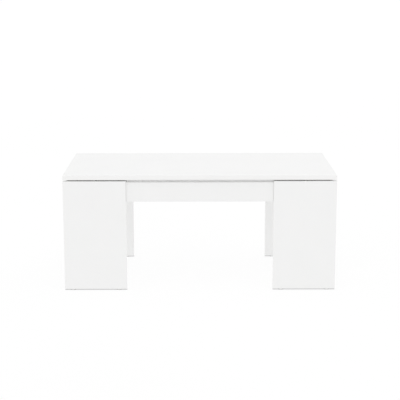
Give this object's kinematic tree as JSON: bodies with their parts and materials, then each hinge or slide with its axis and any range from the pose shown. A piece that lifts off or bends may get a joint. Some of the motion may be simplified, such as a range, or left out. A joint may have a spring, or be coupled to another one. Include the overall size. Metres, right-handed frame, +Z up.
{
  "type": "lift top coffee table",
  "caption": "White panel coffee table on flat board legs, whose top lifts up and forward on two parallel-arm mechanisms over a shallow storage box.",
  "frame": {"origin": "centre of the footprint on the floor, under the middle of the closed table", "axes": "+X along the length to the right as seen from the front, +Y to the rear, +Z up; the lifted top travels up and toward -Y"},
  "size_m": [1, 0.5, 0.43],
  "materials": {
    "melamine_board": "white melamine-faced board, satin, very fine texture",
    "edge_band": "white plastic edge band, satin",
    "zinc_fittings": "zinc plated",
    "beech_dowels": "raw fluted beech",
    "white_caps": "moulded, matt",
    "nylon": "moulded nylon, matt",
    "black_steel": "black powder coat, fine texture",
    "zinc_studs": "turned steel, zinc plated",
    "spring_steel": "zinc plated spring wire",
    "rubber_buffers": "black rubber",
    "clear_bumpers": "milky clear soft plastic",
    "wrapped_panel": "fibreboard wrapped in the same white decor, satin"
  },
  "bodies": {
    "root": {"front_left_leg": "melamine_board", "front_right_leg": "melamine_board", "rear_left_leg": "melamine_board", "rear_right_leg": "melamine_board", "front_rail": "melamine_board", "rear_rail": "melamine_board", "left_end_panel": "melamine_board", "right_end_panel": "melamine_board", "bottom_panel": "melamine_board", "front_facing_panel": "wrapped_panel", "rear_facing_panel": "wrapped_panel", "left_facing_panel": "wrapped_panel", "right_facing_panel": "wrapped_panel", "leg_edge_bands": "edge_band", "rail_edge_bands": "edge_band", "end_panel_edge_bands": "edge_band", "corner_cams": "zinc_fittings", "corner_cam_bolts": "zinc_fittings", "corner_dowels": "beech_dowels", "bottom_cams": "zinc_fittings", "bottom_cam_bolts": "zinc_fittings", "bottom_dowels": "beech_dowels", "cam_caps": "white_caps", "leg_screws": "zinc_fittings", "floor_glides": "nylon", "glide_nails": "zinc_fittings", "closing_bumpers": "clear_bumpers", "base_plate_left": "black_steel", "base_plate_right": "black_steel", "base_pivots_left": "zinc_studs", "base_pivots_right": "zinc_studs", "base_washers_left": "nylon", "base_washers_right": "nylon", "spring_anchor_left": "zinc_studs", "spring_anchor_right": "zinc_studs", "stop_stud_left": "zinc_studs", "stop_stud_right": "zinc_studs", "stop_buffer_left": "rubber_buffers", "stop_buffer_right": "rubber_buffers", "base_plate_screws": "zinc_fittings"},
    "rear_arm_left": {"rear_arm_left": "black_steel", "arm_spring_pin_left": "zinc_studs"},
    "rear_arm_right": {"rear_arm_right": "black_steel", "arm_spring_pin_right": "zinc_studs"},
    "front_arm_left": {"front_arm_left": "black_steel"},
    "front_arm_right": {"front_arm_right": "black_steel"},
    "top": {"top_panel": "melamine_board", "top_edge_band": "edge_band", "top_bracket_left": "black_steel", "top_bracket_right": "black_steel", "top_pivots_left": "zinc_studs", "top_pivots_right": "zinc_studs", "top_washers_left": "nylon", "top_washers_right": "nylon", "top_bracket_screws": "zinc_fittings"},
    "spring_left": {"spring_left": "spring_steel"},
    "spring_right": {"spring_right": "spring_steel"}
  },
  "joints": [
    {"name": "lift", "type": "hinge", "parent": "root", "child": "rear_arm_left", "pos_m": [-0.463, 0.015, 0.361], "axis": [1, 0, 0], "range_deg": [0, 117]},
    {"name": "top_level", "type": "hinge", "parent": "rear_arm_left", "child": "top", "pos_m": [-0.463, 0.18335, 0.38466], "axis": [1, 0, 0], "range_deg": [-117, 0]},
    {"name": "front_arm_left_swing", "type": "hinge", "parent": "root", "child": "front_arm_left", "pos_m": [-0.463, -0.085, 0.379], "axis": [1, 0, 0], "range_deg": [0, 117]},
    {"name": "rear_arm_right_swing", "type": "hinge", "parent": "root", "child": "rear_arm_right", "pos_m": [0.463, 0.015, 0.361], "axis": [1, 0, 0], "range_deg": [0, 117]},
    {"name": "front_arm_right_swing", "type": "hinge", "parent": "root", "child": "front_arm_right", "pos_m": [0.463, -0.085, 0.379], "axis": [1, 0, 0], "range_deg": [0, 117]},
    {"name": "spring_left_swing", "type": "hinge", "parent": "root", "child": "spring_left", "pos_m": [-0.451, -0.115, 0.373], "axis": [1, 0, 0], "range_deg": [0, 6], "deforming": ["spring_left"]},
    {"name": "spring_right_swing", "type": "hinge", "parent": "root", "child": "spring_right", "pos_m": [0.451, -0.115, 0.373], "axis": [1, 0, 0], "range_deg": [0, 6], "deforming": ["spring_right"]}
  ],
  "couplings": [
    {"joint": "top_level", "follows": "lift", "ratio": -1},
    {"joint": "front_arm_left_swing", "follows": "lift", "ratio": 1},
    {"joint": "rear_arm_right_swing", "follows": "lift", "ratio": 1},
    {"joint": "front_arm_right_swing", "follows": "lift", "ratio": 1},
    {"joint": "spring_left_swing", "follows": "lift", "ratio": 0.0482},
    {"joint": "spring_right_swing", "follows": "lift", "ratio": 0.0482}
  ]
}
